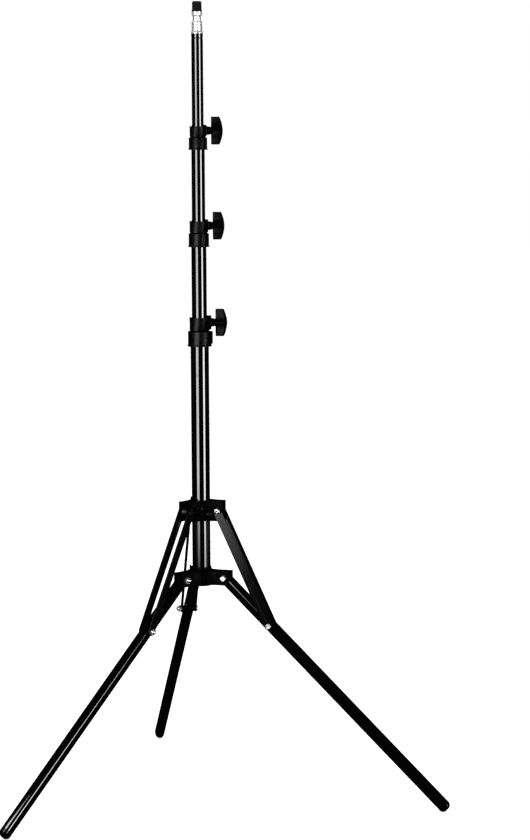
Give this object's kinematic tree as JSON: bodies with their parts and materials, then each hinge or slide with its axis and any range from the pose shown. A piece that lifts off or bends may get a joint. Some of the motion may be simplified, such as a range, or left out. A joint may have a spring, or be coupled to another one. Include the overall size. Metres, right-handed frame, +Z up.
{
  "type": "telescopic lighting stand",
  "caption": "Telescopic lighting stand with clamping collars and winged knobs, folding braced legs on a sliding hub, and a chromed spigot under a ribbed cap.",
  "frame": {"origin": "on the floor, where the three feet stand, straight under the column's axis", "axes": "+Z up along the column; leg 1 points 19 degrees clockwise of +X seen from above, towards +X and -Y; the collar knobs face +X"},
  "size_m": [0.6711, 0.6469, 1.2181],
  "materials": {
    "tube_black": "gloss black lacquer over drawn tube",
    "casting_plastic": "fine-grained dark grey-black moulding",
    "knob_plastic": "satin black moulding",
    "inner_plastic": "plain black moulding",
    "foot_plastic": "gloss black",
    "cap_plastic": "satin dark grey moulding",
    "brace_steel": "satin black paint on flat steel bar",
    "zinc_steel": "bright zinc plate",
    "spigot_chrome": "polished chrome plate"
  },
  "bodies": {
    "column": {"main_tube": "tube_black", "base_hub": "casting_plastic", "base_plug": "inner_plastic", "low_collar": "casting_plastic", "low_collar_screw": "zinc_steel", "low_collar_nuts": "zinc_steel", "leg_hinge_bolts": "zinc_steel", "leg_hinge_nuts": "zinc_steel"},
    "low_knob": {"low_knob": "knob_plastic", "low_knob_stud": "zinc_steel"},
    "second_section": {"second_tube": "tube_black", "second_guide": "inner_plastic", "mid_collar": "casting_plastic", "mid_collar_screw": "zinc_steel", "mid_collar_nuts": "zinc_steel"},
    "mid_knob": {"mid_knob": "knob_plastic", "mid_knob_stud": "zinc_steel"},
    "third_section": {"third_tube": "tube_black", "third_guide": "inner_plastic", "high_collar": "casting_plastic", "high_collar_screw": "zinc_steel", "high_collar_nuts": "zinc_steel"},
    "high_knob": {"high_knob": "knob_plastic", "high_knob_stud": "zinc_steel"},
    "top_section": {"top_tube": "tube_black", "top_guide": "inner_plastic", "spigot": "spigot_chrome"},
    "cap": {"spigot_cap": "cap_plastic"},
    "slider": {"slider_hub": "casting_plastic", "slider_liner": "inner_plastic", "slider_pivot_sleeves": "zinc_steel"},
    "slider_knob": {"slider_knob": "knob_plastic", "slider_knob_stud": "zinc_steel"},
    "leg_1": {"leg_1_tube": "tube_black", "leg_1_insert": "inner_plastic", "leg_1_foot": "foot_plastic", "leg_1_cross_pin": "zinc_steel", "leg_1_spacers": "inner_plastic"},
    "braces_1": {"brace_1_near": "brace_steel", "brace_1_far": "brace_steel", "brace_1_screws": "zinc_steel", "brace_1_bolt_ends": "zinc_steel"},
    "leg_2": {"leg_2_tube": "tube_black", "leg_2_insert": "inner_plastic", "leg_2_foot": "foot_plastic", "leg_2_cross_pin": "zinc_steel", "leg_2_spacers": "inner_plastic"},
    "braces_2": {"brace_2_near": "brace_steel", "brace_2_far": "brace_steel", "brace_2_screws": "zinc_steel", "brace_2_bolt_ends": "zinc_steel"},
    "leg_3": {"leg_3_tube": "tube_black", "leg_3_insert": "inner_plastic", "leg_3_foot": "foot_plastic", "leg_3_cross_pin": "zinc_steel", "leg_3_spacers": "inner_plastic"},
    "braces_3": {"brace_3_near": "brace_steel", "brace_3_far": "brace_steel", "brace_3_screws": "zinc_steel", "brace_3_bolt_ends": "zinc_steel"}
  },
  "joints": [
    {"name": "leg_1_fold", "type": "hinge", "parent": "column", "child": "leg_1", "pos_m": [0.03612, -0.01244, 0.34214], "axis": [-0.3256, -0.9455, 0], "range_deg": [0, 132]},
    {"name": "leg_2_fold", "type": "hinge", "parent": "column", "child": "leg_2", "pos_m": [-0.00729, 0.0375, 0.34214], "axis": [0.9816, 0.1908, 0], "range_deg": [0, 132]},
    {"name": "leg_3_fold", "type": "hinge", "parent": "column", "child": "leg_3", "pos_m": [-0.02883, -0.02506, 0.34214], "axis": [-0.6561, 0.7547, 0], "range_deg": [0, 132]},
    {"name": "slider_slide", "type": "slide", "parent": "column", "child": "slider", "axis": [0, 0, 1], "range_m": [0, 0.18866]},
    {"name": "braces_1_swing", "type": "hinge", "parent": "slider", "child": "braces_1", "pos_m": [0.02808, -0.00967, 0.44606], "axis": [-0.3256, -0.9455, 0], "range_deg": [-21.53, 0]},
    {"name": "braces_2_swing", "type": "hinge", "parent": "slider", "child": "braces_2", "pos_m": [-0.00567, 0.02915, 0.44606], "axis": [0.9816, 0.1908, 0], "range_deg": [-21.53, 0]},
    {"name": "braces_3_swing", "type": "hinge", "parent": "slider", "child": "braces_3", "pos_m": [-0.02242, -0.01948, 0.44606], "axis": [-0.6561, 0.7547, 0], "range_deg": [-21.53, 0]},
    {"name": "second_slide", "type": "slide", "parent": "column", "child": "second_section", "axis": [0, 0, 1], "range_m": [-0.101, 0.216]},
    {"name": "third_slide", "type": "slide", "parent": "second_section", "child": "third_section", "axis": [0, 0, 1], "range_m": [-0.101, 0.245]},
    {"name": "top_slide", "type": "slide", "parent": "third_section", "child": "top_section", "axis": [0, 0, 1], "range_m": [-0.132, 0.239]},
    {"name": "low_knob_turn", "type": "hinge", "parent": "column", "child": "low_knob", "pos_m": [0.01959, 0.01614, 0.7328], "axis": [0.9703, -0.2419, 0], "range_deg": [0, 360]},
    {"name": "mid_knob_turn", "type": "hinge", "parent": "second_section", "child": "mid_knob", "pos_m": [0.01633, 0.01554, 0.88041], "axis": [0.9877, -0.1564, 0], "range_deg": [0, 360]},
    {"name": "high_knob_turn", "type": "hinge", "parent": "third_section", "child": "high_knob", "pos_m": [0.01483, 0.01436, 1.02431], "axis": [0.9877, -0.1564, 0], "range_deg": [0, 360]},
    {"name": "slider_knob_turn", "type": "hinge", "parent": "slider", "child": "slider_knob", "pos_m": [-0.00286, -0.0246, 0.44606], "axis": [0.1908, -0.9816, 0], "range_deg": [0, 360]},
    {"name": "cap_lift", "type": "slide", "parent": "top_section", "child": "cap", "axis": [0, 0, 1], "range_m": [0, 0.025]}
  ],
  "couplings": [
    {"joint": "leg_2_fold", "follows": "leg_1_fold", "ratio": 1},
    {"joint": "leg_3_fold", "follows": "leg_1_fold", "ratio": 1},
    {"joint": "slider_slide", "follows": "leg_1_fold", "m_per_rad": 0.08189},
    {"joint": "braces_1_swing", "follows": "leg_1_fold", "ratio": -0.16292},
    {"joint": "braces_2_swing", "follows": "leg_1_fold", "ratio": -0.16292},
    {"joint": "braces_3_swing", "follows": "leg_1_fold", "ratio": -0.16292}
  ]
}
